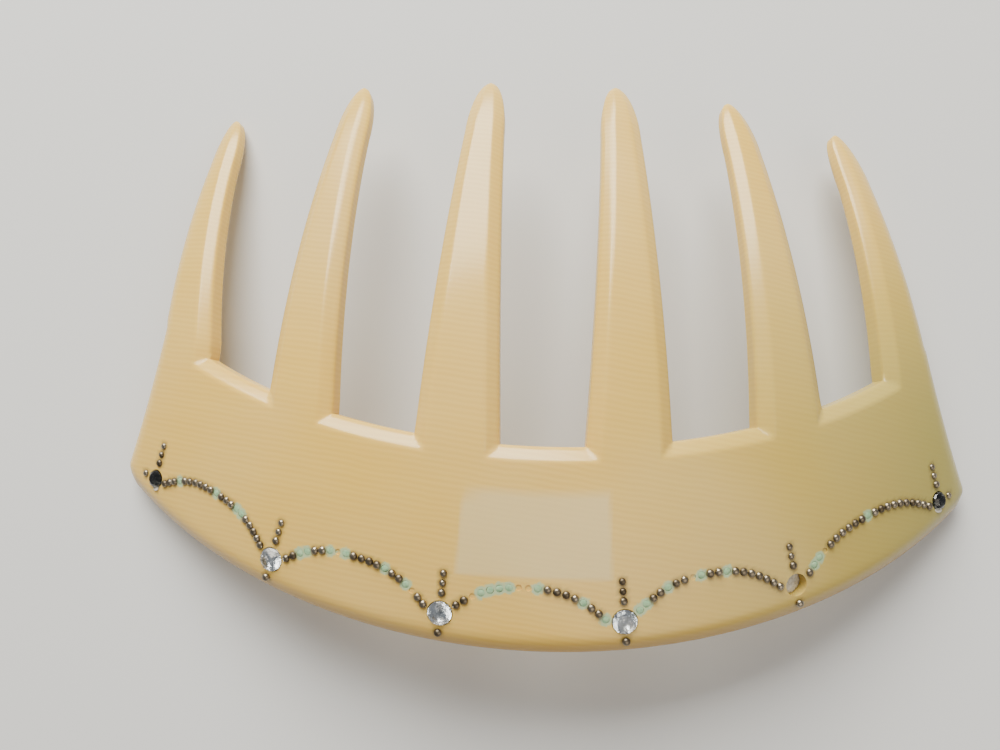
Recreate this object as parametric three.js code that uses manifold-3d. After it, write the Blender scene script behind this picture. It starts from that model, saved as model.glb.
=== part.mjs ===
// Celluloid hair comb with six curved teeth, set with round paste stones and rows of steel pins.
// The plate is laid out flat, as it is sawn from sheet, and then bent to fit the head.
// Units are millimetres. The comb lies on its edges with the decorated side up, teeth towards +Y.

import * as THREE from 'three';
import { mergeVertices } from 'three/addons/utils/BufferGeometryUtils.js';
import Module from 'manifold-3d';

const wasm = await Module();
wasm.setup();

// ---------------------------------------------------------------- driving dimensions

const plate = {
  thickness: 3.0, // sheet thickness in the crown
  headRadius: 85, // radius of the crown across the head, to the middle of the sheet
  toothRadius: 91, // radius of the sheet along the teeth, which hug the head
  facet: 5, // width of the flats that stand in for the bent surface
  rowLength: 8, // and their length
};

const crown = {
  low: -6.2, // lowest point of the decorated edge
  edgeRadius: 98.9, // arc of the decorated edge
  rootLow: 13.7, // height of the gap bottoms at the middle
  rootRadius: 109.8, // arc that the gap bottoms follow
  reachLeft: 49.0, // middle to the left corner, along the sheet
  reachRight: 49.9, // middle to the right corner, along the sheet
  cornerHeight: 0.5, // corner above the arc of the decorated edge
  cornerRound: 1.1, // how far the corner rounding runs along each side
  sideBow: 0.75, // how far the sides curve in
};

const bevel = {
  frontWidth: 1.3, // chamfer on the decorated side, across the face
  frontDepth: 0.9,
  backWidth: 0.5,
  backDepth: 0.5,
};

// Each tooth: centre and width at the root, centre and width where the nose begins, tip height,
// and how far the tip hooks sideways.
const teeth = [
  { rootAt: -41.75, rootWidth: 7.7, noseAt: -45.65, noseWidth: 4.5, tip: 50.6, hook: -0.35 },
  { rootAt: -25.2, rootWidth: 7.6, noseAt: -25.9, noseWidth: 4.6, tip: 54.1, hook: -0.2 },
  { rootAt: -8.35, rootWidth: 8.5, noseAt: -8.15, noseWidth: 4.9, tip: 54.3, hook: 0 },
  { rootAt: 8.55, rootWidth: 8.5, noseAt: 8.75, noseWidth: 4.9, tip: 54.0, hook: -0.2 },
  { rootAt: 25.45, rootWidth: 7.6, noseAt: 24.6, noseWidth: 4.6, tip: 52.8, hook: -0.3 },
  { rootAt: 41.5, rootWidth: 7.3, noseAt: 41.0, noseWidth: 4.5, tip: 49.9, hook: -0.45 },
];

const toothShape = {
  noseLength: 7, // rounded end
  noseThickness: 2.2, // sheet thickness where the nose begins
  tipFlat: 0.12, // share of the nose section left at the very end
  noseRows: 4,
};

const stone = {
  radius: 1.2,
  endRadius: 0.95, // the smaller stones of the two end settings
  tableRadius: 0.7,
  tableHeight: 0.45, // table above the plate
  girdleTop: 0.08,
  girdleLow: -0.05,
  pavilionDepth: 1.1, // girdle to culet
  edgeDistance: 3.2, // centre to the decorated edge
  sides: 10,
};

const foil = {
  gap: 0.12, // below the stone
  thickness: 0.16,
};

const socket = {
  clearance: 0.08, // round the stone
  floorGap: 0.12, // under the foil
  sides: 10,
};

const pin = {
  radius: 0.44, // pins of the swags, which touch their neighbours
  accentRadius: 0.38,
  dome: 0.34, // height of the head above the plate
  depth: 1.0,
  clearance: 0.06, // round the shank and below it
  sides: 6,
  webRadius: 0.24, // web below the surface that holds the pins of a run together
  webTop: -0.2,
  webSides: 4,
};

// The six settings, by their angle round the arc of the decorated edge, in degrees.
const settings = [
  { angle: -26.5, stone: true, stemLean: -14, outerPin: -1 },
  { angle: -16.3, stone: true, stemLean: -16.3, outerPin: 0 },
  { angle: -5.5, stone: true, stemLean: -4, outerPin: 0 },
  { angle: 5.0, stone: true, stemLean: 6, outerPin: 0 },
  { angle: 15.5, stone: false, stemLean: 14.5, outerPin: 0 },
  { angle: 27.3, stone: true, stemLean: 15, outerPin: 1 },
];

const accents = {
  stemGap: 0.39, // socket to the first stem pin
  stemSpace: 0.19, // between the pins of a stem
  stemPins: 3,
  dropGap: 0.29, // socket to the lower pin, or to the side pin of the two end settings
  swagGap: 0.08, // socket to the first pit of a swag
};

// Swags between neighbouring settings. Each letter is one drilled pit, from left to right:
// p holds a pin, g has lost its pin and is filled with green corrosion, e is empty. Each arch
// rises from the ring of stones, and its highest point may lie a little off centre.
const swags = [
  { pits: 'pppgppppppgpppggppppp', rise: 3.26, middle: 0.513 },
  { pits: 'ppggppgegppppgppgepp', rise: 3.52, middle: 0.491 },
  { pits: 'ppeggggeegppppgppg', rise: 3.42, middle: 0.468 },
  { pits: 'ggppgppegppgppppppp', rise: 3.55, middle: 0.477 },
  { pits: 'pggeppppppgpppppppppp', rise: 3.48, middle: 0.491 },
];

const arch = {
  half: 0.447, // half the arch, as a share of the way between two settings
  fullness: 2.47, // 2 is a parabola, and more is flatter on top
};

const finish = {
  celluloid: new THREE.Color('#dcc08a'),
  paste: new THREE.Color('#dfe6ea'),
  tarnishedPaste: new THREE.Color('#4a4f4c'),
  foil: new THREE.Color('#c9ccc8'),
  steel: new THREE.Color('#7d776c'),
};

// ---------------------------------------------------------------- the bend

const surface = plate.thickness / 2;
const weld = 1e-3; // points closer than this are one point

/** Carries a point of the flat plate, given across, along and above mid-sheet, onto the comb. */
function bend(across, along, height) {
  const sweep = Math.max(along, 0) / plate.toothRadius;
  const drop = plate.toothRadius * (1 - Math.cos(sweep));
  const reach = along > 0 ? plate.toothRadius * Math.sin(sweep) : along;
  const radius = plate.headRadius - drop + height * Math.cos(sweep);
  const turn = across / plate.headRadius;
  return new THREE.Vector3(
    radius * Math.sin(turn),
    reach + height * Math.sin(sweep),
    radius * Math.cos(turn) - plate.headRadius,
  );
}

/** Bends every vertex of a geometry made in the flat plate's coordinates. */
function bendGeometry(geometry) {
  const place = geometry.getAttribute('position');
  for (let i = 0; i < place.count; i += 1) {
    const point = bend(place.getX(i), place.getY(i), place.getZ(i));
    place.setXYZ(i, point.x, point.y, point.z);
  }
  return geometry;
}

// ---------------------------------------------------------------- solids

/** Welds a closed three.js geometry and makes it a solid for joining and cutting. */
function toSolid(geometry) {
  geometry.deleteAttribute('normal');
  geometry.deleteAttribute('uv');
  const welded = mergeVertices(geometry, weld / 10);
  return new wasm.Manifold(new wasm.Mesh({
    numProp: 3,
    vertProperties: Float32Array.from(welded.getAttribute('position').array),
    triVerts: Uint32Array.from(welded.getIndex().array),
  }));
}

function toGeometry(solid) {
  const mesh = solid.getMesh();
  const places = Float32Array.from(mesh.vertProperties);
  const geometry = new THREE.BufferGeometry();
  geometry.setAttribute('position', new THREE.BufferAttribute(places, 3));
  geometry.setIndex(new THREE.BufferAttribute(Uint32Array.from(mesh.triVerts), 1));
  geometry.computeVertexNormals();
  return geometry;
}

function joinAll(solids) {
  return solids.reduce((whole, solid) => whole.add(solid));
}

/** Splits every triangle that crosses a plane, so that the flat plate can bend there. */
function splitAcross(points, triangles, axis, level) {
  const made = new Map();
  const side = points.map((point) => {
    const offset = point[axis] - level;
    return Math.abs(offset) < weld ? 0 : Math.sign(offset);
  });

  function crossing(a, b) {
    const low = Math.min(a, b);
    const high = Math.max(a, b);
    const key = `${low},${high}`;
    if (!made.has(key)) {
      const share = (level - points[low][axis]) / (points[high][axis] - points[low][axis]);
      const point = points[low].map((value, i) => value + share * (points[high][i] - value));
      point[axis] = level;
      made.set(key, points.length);
      points.push(point);
      side.push(0);
    }
    return made.get(key);
  }

  const result = [];
  for (const corners of triangles) {
    const sides = corners.map((corner) => side[corner]);
    if (!sides.includes(1) || !sides.includes(-1)) {
      result.push(corners);
      continue;
    }
    for (const wanted of [1, -1]) {
      const ring = [];
      corners.forEach((corner, i) => {
        const next = corners[(i + 1) % 3];
        if (side[corner] !== -wanted) ring.push(corner);
        if (side[corner] * side[next] < 0) ring.push(crossing(corner, next));
      });
      for (let i = 2; i < ring.length; i += 1) result.push([ring[0], ring[i - 1], ring[i]]);
    }
  }
  return result;
}

/** Adds the skin of the part of a flat solid between two seams, without the cut ends. */
function addSkin(points, triangles, solid, left, right) {
  const tall = 200;
  const box = new THREE.BoxGeometry(right - left, tall, tall).translate((left + right) / 2, 0, 0);
  const mesh = solid.intersect(toSolid(box)).getMesh();
  const same = (one, other) => one.every((value, axis) => Math.abs(value - other[axis]) < weld);
  const allOn = (corners, seam) => corners.every((corner) => points[corner][0] === seam);
  const numbers = [];
  for (let i = 0; i < mesh.vertProperties.length; i += 3) {
    const point = Array.from(mesh.vertProperties.slice(i, i + 3));
    for (const seam of [left, right]) {
      if (Math.abs(point[0] - seam) < weld) point[0] = seam;
    }
    const known = points.findIndex((other) => same(other, point));
    numbers.push(known < 0 ? points.push(point) - 1 : known);
  }
  for (let i = 0; i < mesh.triVerts.length; i += 3) {
    const corners = Array.from(mesh.triVerts.slice(i, i + 3)).map((corner) => numbers[corner]);
    const cutEnd = allOn(corners, left) || allOn(corners, right);
    if (!cutEnd && new Set(corners).size === 3) triangles.push(corners);
  }
}

/** Splits triangles at points of a seam that lie inside one of their edges along that seam. */
function mendSeam(points, triangles, seam) {
  const onSeam = [...points.keys()].filter((number) => points[number][0] === seam);
  const place = (number) => new THREE.Vector3(...points[number]);
  const closest = new THREE.Vector3();
  const waiting = [...triangles];
  const result = [];
  while (waiting.length > 0) {
    const corners = waiting.pop();
    let cut = false;
    for (let i = 0; i < 3 && !cut; i += 1) {
      const [a, b, c] = [corners[i], corners[(i + 1) % 3], corners[(i + 2) % 3]];
      if (points[a][0] !== seam || points[b][0] !== seam) continue;
      const edge = new THREE.Line3(place(a), place(b));
      const between = onSeam.find((number) => number !== a && number !== b
        && edge.closestPointToPoint(place(number), true, closest).distanceTo(place(number)) < weld);
      if (between !== undefined) {
        waiting.push([a, between, c], [between, b, c]);
        cut = true;
      }
    }
    if (!cut) result.push(corners);
  }
  return result;
}

/** Gives a flat solid the seams that it bends at, and bends it. */
function bendSolid(solid) {
  const reach = Math.max(crown.reachLeft, crown.reachRight) + plate.facet;
  const top = Math.max(...teeth.map((tooth) => tooth.tip));
  const seams = seamsBetween(-reach, reach);
  const points = [];
  let triangles = [];
  for (let i = 1; i < seams.length; i += 1) {
    addSkin(points, triangles, solid, seams[i - 1], seams[i]);
  }
  for (const seam of seams) triangles = mendSeam(points, triangles, seam);
  for (let level = 0; level < top; level += plate.rowLength) {
    triangles = splitAcross(points, triangles, 1, level);
  }
  const geometry = new THREE.BufferGeometry();
  geometry.setAttribute('position', new THREE.Float32BufferAttribute(points.flat(), 3));
  geometry.setIndex(triangles.flat());
  return toSolid(bendGeometry(geometry));
}

// ---------------------------------------------------------------- plate outline

function onArc(low, radius, across) {
  return low + radius - Math.sqrt(radius ** 2 - across ** 2);
}

function edgeHeight(across) {
  return onArc(crown.low, crown.edgeRadius, across);
}

function rootHeight(across) {
  return onArc(crown.rootLow, crown.rootRadius, across);
}

/** Places across the plate, between two limits, where the flats of the bent surface meet. */
function seamsBetween(left, right) {
  const seams = [];
  const first = Math.ceil((left + 0.4) / plate.facet - 0.5) + 0.5;
  for (let i = first; i * plate.facet < right - 0.4; i += 1) seams.push(i * plate.facet);
  return seams;
}

/** Where the outer flank of an end tooth meets the side of the crown, on side -1 or 1. */
function sideTop(side) {
  const tooth = side < 0 ? teeth[0] : teeth[teeth.length - 1];
  const across = tooth.rootAt + side * tooth.rootWidth / 2;
  return new THREE.Vector2(across, rootHeight(across));
}

/**
 * Corner of the crown, and the curved side above it, on side -1 or 1. A sharp corner is rounded
 * further, until the chamfer of the front face can follow it.
 */
function crownSide(side) {
  const reach = side < 0 ? crown.reachLeft : crown.reachRight;
  const corner = new THREE.Vector2(side * reach, edgeHeight(reach) + crown.cornerHeight);
  const top = sideTop(side);
  const pull = corner.clone().lerp(top, 0.5);
  pull.x -= side * 2 * crown.sideBow;
  const inner = reach - crown.cornerRound;
  const edge = new THREE.Vector2(side * inner, edgeHeight(inner)).sub(corner);
  const half = edge.angleTo(pull.clone().sub(corner)) / 2;
  const needed = (1.1 * bevel.frontWidth) / (Math.tan(half) * Math.sin(half));
  const round = Math.max(crown.cornerRound, needed);
  const turn = corner.clone().add(pull.clone().sub(corner).setLength(round));
  const start = side * (reach - 1.6 * round);
  return { corner, top, pull, turn, start };
}

/** The crown without its teeth: decorated arc, rounded corners, sides, and the arc of the roots. */
function crownOutline() {
  const left = crownSide(-1);
  const right = crownSide(1);
  const shape = new THREE.Shape();
  shape.moveTo(left.start, edgeHeight(left.start));
  seamsBetween(left.start, right.start).forEach((across) => {
    shape.lineTo(across, edgeHeight(across));
  });
  shape.lineTo(right.start, edgeHeight(right.start));
  shape.quadraticCurveTo(right.corner.x, right.corner.y, right.turn.x, right.turn.y);
  shape.quadraticCurveTo(right.pull.x, right.pull.y, right.top.x, right.top.y);
  seamsBetween(left.top.x, right.top.x).reverse().forEach((across) => {
    shape.lineTo(across, rootHeight(across));
  });
  shape.lineTo(left.top.x, left.top.y);
  shape.quadraticCurveTo(left.pull.x, left.pull.y, left.turn.x, left.turn.y);
  shape.quadraticCurveTo(left.corner.x, left.corner.y, left.start, edgeHeight(left.start));
  return shape;
}

/** A slab with a chamfer of its own on each face: the overlap of two bevelled extrusions. */
function bevelledSlab(shape) {
  const spare = 2;
  const make = (width, depth, lift) => {
    const geometry = new THREE.ExtrudeGeometry(shape, {
      depth: plate.thickness + spare - 2 * depth,
      bevelEnabled: true,
      bevelSize: width,
      bevelOffset: -width,
      bevelThickness: depth,
      bevelSegments: 1,
      curveSegments: 4,
    });
    return toSolid(geometry.translate(0, 0, lift + depth));
  };
  const front = make(bevel.frontWidth, bevel.frontDepth, -surface - spare);
  const back = make(bevel.backWidth, bevel.backDepth, -surface);
  return front.intersect(back);
}

/** Middle of a tooth at a height along it: straight up to the nose, which hooks sideways. */
function toothMiddle(tooth, along) {
  const root = rootHeight(tooth.rootAt);
  const noseStart = tooth.tip - toothShape.noseLength;
  const lean = (tooth.noseAt - tooth.rootAt) / (noseStart - root);
  const share = Math.max(along - noseStart, 0) / toothShape.noseLength;
  return tooth.rootAt + lean * (along - root) + tooth.hook * share ** 2;
}

/** One tooth, from inside the crown to its rounded tip, as a stack of eight-sided sections. */
function toothSolid(tooth) {
  const root = rootHeight(tooth.rootAt);
  const noseStart = tooth.tip - toothShape.noseLength;
  const start = root - bevel.frontWidth - 1;
  const straightRows = 2;
  const rows = straightRows + toothShape.noseRows;
  const geometry = new THREE.CylinderGeometry(1, 1, 1, 8, rows);
  const taper = (tooth.noseWidth - tooth.rootWidth) / (noseStart - root);
  const place = geometry.getAttribute('position');
  for (let i = 0; i < place.count; i += 1) {
    const row = Math.round((place.getY(i) + 0.5) * rows);
    let along = start;
    if (row === 1) along = root;
    let shrink = 1;
    if (row >= straightRows) {
      const share = (row - straightRows) / toothShape.noseRows;
      along = noseStart + toothShape.noseLength * Math.sin(share * Math.PI / 2);
      shrink = Math.max(Math.cos(share * Math.PI / 2), toothShape.tipFlat);
    }
    const onTooth = Math.max(along, root);
    const centre = toothMiddle(tooth, onTooth);
    const half = shrink * (tooth.rootWidth + taper * (Math.min(onTooth, noseStart) - root)) / 2;
    const thin = Math.min((onTooth - root) / (noseStart - root), 1);
    const full = plate.thickness + (toothShape.noseThickness - plate.thickness) * thin;
    const thick = full * (0.35 + 0.65 * shrink) / 2;
    const radial = Math.hypot(place.getX(i), place.getZ(i));
    const column = Math.round(Math.atan2(place.getZ(i), place.getX(i)) / (Math.PI / 4));
    const corner = radial > 0.5 ? toothCorner(column, half, thick, shrink) : [0, 0];
    place.setXYZ(i, centre + corner[0], along, corner[1]);
  }
  return toSolid(geometry);
}

/** Corner of a tooth's section: chamfered flat, wide chamfers in front and narrow ones behind. */
function toothCorner(column, half, thick, shrink) {
  const wide = Math.min(bevel.frontWidth, half * 0.6);
  const deep = bevel.frontDepth * (0.4 + 0.6 * shrink) * thick / surface;
  const narrow = bevel.backWidth * shrink;
  const low = bevel.backDepth * shrink;
  const corners = {
    0: [half, thick - deep],
    1: [half - wide, thick],
    2: [-half + wide, thick],
    3: [-half, thick - deep],
    4: [-half, -thick + low],
    '-4': [-half, -thick + low],
    '-3': [-half + narrow, -thick],
    '-2': [half - narrow, -thick],
    '-1': [half, -thick + low],
  };
  return corners[column];
}

// ---------------------------------------------------------------- settings and pins

/** Where a setting sits on the flat plate, and the directions across and up at its stone. */
function settingPlace(setting) {
  const turn = THREE.MathUtils.degToRad(setting.angle);
  const radius = crown.edgeRadius - stone.edgeDistance;
  const centre = crown.low + crown.edgeRadius;
  return new THREE.Vector2(radius * Math.sin(turn), centre - radius * Math.cos(turn));
}

/** A turned piece standing on the plate, its profile given as radius and height pairs. */
function turned(profile, sides, at) {
  const points = profile.map(([radius, height]) => new THREE.Vector2(radius, height));
  const geometry = new THREE.LatheGeometry(points, sides);
  geometry.rotateX(Math.PI / 2);
  geometry.translate(at.x, at.y, surface);
  return toSolid(bendGeometry(geometry));
}

function stoneRadius(setting) {
  return setting.outerPin === 0 ? stone.radius : stone.endRadius;
}

function stoneSolid(at, radius) {
  const table = stone.tableRadius * radius / stone.radius;
  return turned([
    [0, stone.girdleLow - stone.pavilionDepth],
    [radius, stone.girdleLow],
    [radius, stone.girdleTop],
    [table, stone.tableHeight],
    [0, stone.tableHeight],
  ], stone.sides, at);
}

function foilSolid(at, radius) {
  const rim = stone.girdleLow - foil.gap;
  const tip = rim - stone.pavilionDepth;
  return turned([
    [0, tip - foil.thickness],
    [radius, rim - foil.thickness],
    [radius, rim],
    [0, tip],
  ], stone.sides, at);
}

function socketCutter(at, radius) {
  const wall = radius + socket.clearance;
  const floor = stone.girdleLow - stone.pavilionDepth - foil.gap - foil.thickness - socket.floorGap;
  return turned([[0, floor], [wall, floor], [wall, 1], [0, 1]], socket.sides, at);
}

function webSolid(at) {
  const { depth, webRadius, webTop } = pin;
  return turned([[0, -depth], [webRadius, -depth], [webRadius, webTop], [0, webTop]], pin.webSides, at);
}

function pinSolid(at, radius) {
  return turned([
    [0, -pin.depth],
    [radius, -pin.depth],
    [radius, pin.dome * 0.3],
    [radius * 0.55, pin.dome],
    [0, pin.dome],
  ], pin.sides, at);
}

function pitCutter(at, radius) {
  const wall = radius + pin.clearance;
  const floor = -pin.depth - pin.clearance;
  return turned([[0, floor], [wall, floor], [wall, 1], [0, 1]], pin.sides, at);
}

/** Single pins round one setting: a stem above it, and a pin below it or out to the side. */
function accentPlaces(setting) {
  const middle = settingPlace(setting);
  const lean = THREE.MathUtils.degToRad(setting.stemLean);
  const up = new THREE.Vector2(-Math.sin(lean), Math.cos(lean));
  const touching = stoneRadius(setting) + socket.clearance + pin.accentRadius;
  const pitch = 2 * pin.accentRadius + accents.stemSpace;
  const places = [];
  for (let i = 0; i < accents.stemPins; i += 1) {
    const reach = touching + accents.stemGap + pitch * i;
    places.push({ name: `stem_${i + 1}`, at: middle.clone().addScaledVector(up, reach) });
  }
  const reach = touching + accents.dropGap;
  if (setting.outerPin === 0) {
    places.push({ name: 'drop', at: middle.clone().addScaledVector(up, -reach) });
  } else {
    const side = new THREE.Vector2(setting.outerPin * Math.cos(lean), Math.abs(Math.sin(lean)));
    places.push({ name: 'side', at: middle.clone().addScaledVector(side, reach) });
  }
  return places;
}

/** Point of a swag: an arch that rises from the ring of stones between two settings. */
function swagPoint(index, share) {
  const [from, to] = [settings[index], settings[index + 1]];
  const { rise, middle } = swags[index];
  const turn = THREE.MathUtils.degToRad(THREE.MathUtils.lerp(from.angle, to.angle, share));
  const lift = rise * Math.max(1 - Math.abs((share - middle) / arch.half) ** arch.fullness, 0);
  const radius = crown.edgeRadius - stone.edgeDistance - lift;
  const centre = crown.low + crown.edgeRadius;
  return new THREE.Vector2(radius * Math.sin(turn), centre - radius * Math.cos(turn));
}

/** Pit centres of a swag, evenly spaced along it between its two stones. */
function swagPlaces(index) {
  const steps = 400;
  const ends = [settings[index], settings[index + 1]].map((setting) => ({
    place: settingPlace(setting),
    reach: stoneRadius(setting) + socket.clearance + accents.swagGap + pin.radius,
  }));
  const path = [];
  for (let i = 0; i <= steps; i += 1) {
    const point = swagPoint(index, i / steps);
    if (ends.every((end) => point.distanceTo(end.place) >= end.reach)) {
      path.push(new THREE.Vector3(point.x, point.y, 0));
    }
  }
  const curve = new THREE.CatmullRomCurve3(path);
  curve.arcLengthDivisions = 2 * steps;
  const count = swags[index].pits.length;
  return Array.from({ length: count }, (_, i) => {
    const point = curve.getPointAt(i / (count - 1));
    return new THREE.Vector2(point.x, point.y);
  });
}

/** Stretches of a swag whose pins stand side by side, each as a list of places. */
function pinRuns(index) {
  const places = swagPlaces(index);
  const runs = [];
  [...swags[index].pits].forEach((letter, i) => {
    if (letter !== 'p') return;
    if (swags[index].pits[i - 1] !== 'p') runs.push([]);
    runs[runs.length - 1].push(places[i]);
  });
  return runs;
}

/** Pits of a swag that have lost their pin. */
function emptyPits(index) {
  return swagPlaces(index).filter((_, i) => swags[index].pits[i] !== 'p');
}

/** The slot that touching pits make where a run of pins stands side by side. */
function slotCutter(run) {
  const wall = pin.radius + pin.clearance;
  const along = run.map((at, i) => {
    const before = run[Math.max(i - 1, 0)];
    const after = run[Math.min(i + 1, run.length - 1)];
    return after.clone().sub(before).normalize();
  });
  const ends = [along[0].clone().negate(), along[run.length - 1]];
  const rail = (side) => run.map((at, i) => {
    const outward = new THREE.Vector2(-along[i].y, along[i].x);
    const place = at.clone().addScaledVector(outward, side * wall);
    if (i === 0) place.addScaledVector(ends[0], wall);
    if (i === run.length - 1) place.addScaledVector(ends[1], wall);
    return place;
  });
  const shape = new THREE.Shape([...rail(-1), ...rail(1).reverse()]);
  const floor = -pin.depth - pin.clearance;
  const geometry = new THREE.ExtrudeGeometry(shape, { depth: 1 - floor, bevelEnabled: false });
  return toSolid(bendGeometry(geometry.translate(0, 0, surface + floor)));
}

/** Midpoints between the neighbouring pins of a run. */
function webPlaces(run) {
  return run.slice(1).map((at, i) => at.clone().add(run[i]).multiplyScalar(0.5));
}

// ---------------------------------------------------------------- the comb

const comb = new THREE.Group();

function addPiece(name, solid, color, roughness, metalness) {
  const material = new THREE.MeshStandardMaterial({ color, roughness, metalness });
  const mesh = new THREE.Mesh(toGeometry(solid), material);
  mesh.name = name;
  comb.add(mesh);
}

function buildBody() {
  const flat = joinAll([bevelledSlab(crownOutline()), ...teeth.map(toothSolid)]);
  const cutters = [];
  settings.forEach((setting, i) => {
    cutters.push(socketCutter(settingPlace(setting), stoneRadius(setting)));
    accentPlaces(setting).forEach((accent) => {
      cutters.push(pitCutter(accent.at, pin.accentRadius));
    });
    if (i < swags.length) {
      emptyPits(i).forEach((at) => cutters.push(pitCutter(at, pin.radius * 0.85)));
      pinRuns(i).forEach((run) => {
        cutters.push(run.length > 1 ? slotCutter(run) : pitCutter(run[0], pin.radius));
      });
    }
  });
  addPiece('comb_body', bendSolid(flat).subtract(joinAll(cutters)), finish.celluloid, 0.3, 0);
}

function buildSettings() {
  settings.forEach((setting, i) => {
    const number = i + 1;
    const at = settingPlace(setting);
    const radius = stoneRadius(setting);
    if (setting.stone) {
      const color = setting.outerPin === 0 ? finish.paste : finish.tarnishedPaste;
      addPiece(`paste_stone_${number}`, stoneSolid(at, radius), color, 0.05, 0);
    }
    addPiece(`foil_cup_${number}`, foilSolid(at, radius), finish.foil, 0.3, 1);
    accentPlaces(setting).forEach((accent) => {
      const solid = pinSolid(accent.at, pin.accentRadius);
      addPiece(`pin_${number}_${accent.name}`, solid, finish.steel, 0.3, 1);
    });
  });
}

function buildSwags() {
  swags.forEach((_, i) => {
    pinRuns(i).forEach((run, j) => {
      const pins = run.map((at) => pinSolid(at, pin.radius));
      const solid = joinAll([...pins, ...webPlaces(run).map(webSolid)]);
      addPiece(`pin_run_${i + 1}_${j + 1}`, solid, finish.steel, 0.3, 1);
    });
  });
}

/** Lays the comb on its two corners and its left outer tooth, the three points that carry it. */
function seat() {
  const corner = (across) => bend(across, edgeHeight(across) + crown.cornerHeight, -surface);
  const [left, right] = [corner(-crown.reachLeft), corner(crown.reachRight)];
  const tooth = teeth[0];
  const tip = bend(toothMiddle(tooth, tooth.tip), tooth.tip, -toothShape.noseThickness / 2);
  const upright = right.clone().sub(left).cross(tip.sub(left)).normalize();
  comb.quaternion.setFromUnitVectors(upright, new THREE.Vector3(0, 0, 1));
  comb.updateMatrixWorld(true);
  const box = new THREE.Box3().setFromObject(comb, true);
  const centre = box.getCenter(new THREE.Vector3());
  comb.position.set(-centre.x, -centre.y, -box.min.z);
}

buildBody();
buildSettings();
buildSwags();
seat();

export default comb;
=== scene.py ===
"""Antique hair comb of ivory-grained celluloid, set with paste stones and rows of steel pins.

The comb is laid out flat in millimetres, as it was sawn from sheet, and every piece is then carried onto
the bent sheet and set down on the floor in metres.
"""

import logging
import math
import random
from dataclasses import dataclass, field
from enum import Enum
from typing import Callable, Iterable, Sequence

import bpy
import numpy as np
from mathutils import Matrix, Vector


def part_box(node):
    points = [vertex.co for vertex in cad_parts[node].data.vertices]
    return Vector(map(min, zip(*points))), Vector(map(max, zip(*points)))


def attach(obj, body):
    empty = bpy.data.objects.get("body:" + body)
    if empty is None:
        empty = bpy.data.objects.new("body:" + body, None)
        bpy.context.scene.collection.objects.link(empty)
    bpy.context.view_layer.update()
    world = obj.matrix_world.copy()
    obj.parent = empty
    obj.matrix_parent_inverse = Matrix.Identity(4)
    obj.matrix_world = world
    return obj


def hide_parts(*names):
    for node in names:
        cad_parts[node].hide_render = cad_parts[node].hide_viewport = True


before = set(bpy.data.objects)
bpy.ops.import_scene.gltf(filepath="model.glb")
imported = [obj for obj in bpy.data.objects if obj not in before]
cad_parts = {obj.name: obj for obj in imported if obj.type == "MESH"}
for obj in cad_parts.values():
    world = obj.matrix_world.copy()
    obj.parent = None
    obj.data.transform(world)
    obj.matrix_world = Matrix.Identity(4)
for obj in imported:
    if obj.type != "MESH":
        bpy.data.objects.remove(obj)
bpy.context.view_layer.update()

LOG = logging.getLogger("hair_comb")
MILLIMETRE = 0.001


# ---------------------------------------------------------------- small tools


def linear(hex_colour: str) -> tuple[float, float, float, float]:
    """Turns an sRGB hex colour into linear values.

    Args:
        hex_colour: Six hex digits after a hash sign.

    Returns:
        Linear red, green and blue, with alpha 1.
    """
    channels = [int(hex_colour[i:i + 2], 16) / 255 for i in (1, 3, 5)]
    turned = [c / 12.92 if c <= 0.04045 else ((c + 0.055) / 1.055) ** 2.4 for c in channels]
    return turned[0], turned[1], turned[2], 1.0


def clear_selection() -> None:
    """Deselects every object, so that an operator acts on new work only."""
    if bpy.context.object and bpy.context.object.mode != "OBJECT":
        bpy.ops.object.mode_set(mode="OBJECT")
    bpy.ops.object.select_all(action="DESELECT")


def make_active(piece: bpy.types.Object) -> None:
    """Makes one object the selected and active one."""
    clear_selection()
    piece.select_set(True)
    bpy.context.view_layer.objects.active = piece


def finish_modifier(piece: bpy.types.Object, kind: str, **settings: object) -> None:
    """Adds a modifier with its settings and applies it.

    Args:
        piece: The object that it works on.
        kind: Blender's name for the modifier.
        settings: The modifier's own values.
    """
    make_active(piece)
    modifier = piece.modifiers.new(kind.title(), kind)
    for name, value in settings.items():
        setattr(modifier, name, value)
    bpy.ops.object.modifier_apply(modifier=modifier.name)


def edit_faces(piece: bpy.types.Object, wanted: Callable[[bpy.types.MeshPolygon], bool]) -> None:
    """Opens a piece for editing with only the wanted faces selected.

    Args:
        piece: The object to edit.
        wanted: Tells for each face whether it is selected.
    """
    make_active(piece)
    bpy.ops.object.mode_set(mode="EDIT")
    bpy.ops.mesh.select_mode(type="FACE")
    bpy.ops.mesh.select_all(action="DESELECT")
    bpy.ops.object.mode_set(mode="OBJECT")
    for face in piece.data.polygons:
        face.select = wanted(face)
    bpy.ops.object.mode_set(mode="EDIT")


def read_points(piece: bpy.types.Object) -> np.ndarray:
    """Returns the vertices of a piece as rows of three numbers."""
    points = np.empty(len(piece.data.vertices) * 3, np.float64)
    piece.data.vertices.foreach_get("co", points)
    return points.reshape(-1, 3)


def write_points(piece: bpy.types.Object, points: np.ndarray) -> None:
    """Puts the vertices of a piece where the rows of three numbers say."""
    piece.data.vertices.foreach_set("co", points.astype(np.float32).ravel())
    piece.data.update()


def keep_values(piece: bpy.types.Object, name: str, values: np.ndarray) -> None:
    """Stores one number, or one vector, for each vertex under a name that a material can read.

    Args:
        piece: The object that gets the attribute.
        name: The attribute's name.
        values: One row for each vertex.
    """
    kind, key = ("FLOAT", "value") if values.ndim == 1 else ("FLOAT_VECTOR", "vector")
    attribute = piece.data.attributes.new(name, kind, "POINT")
    attribute.data.foreach_set(key, values.astype(np.float32).ravel())


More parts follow.
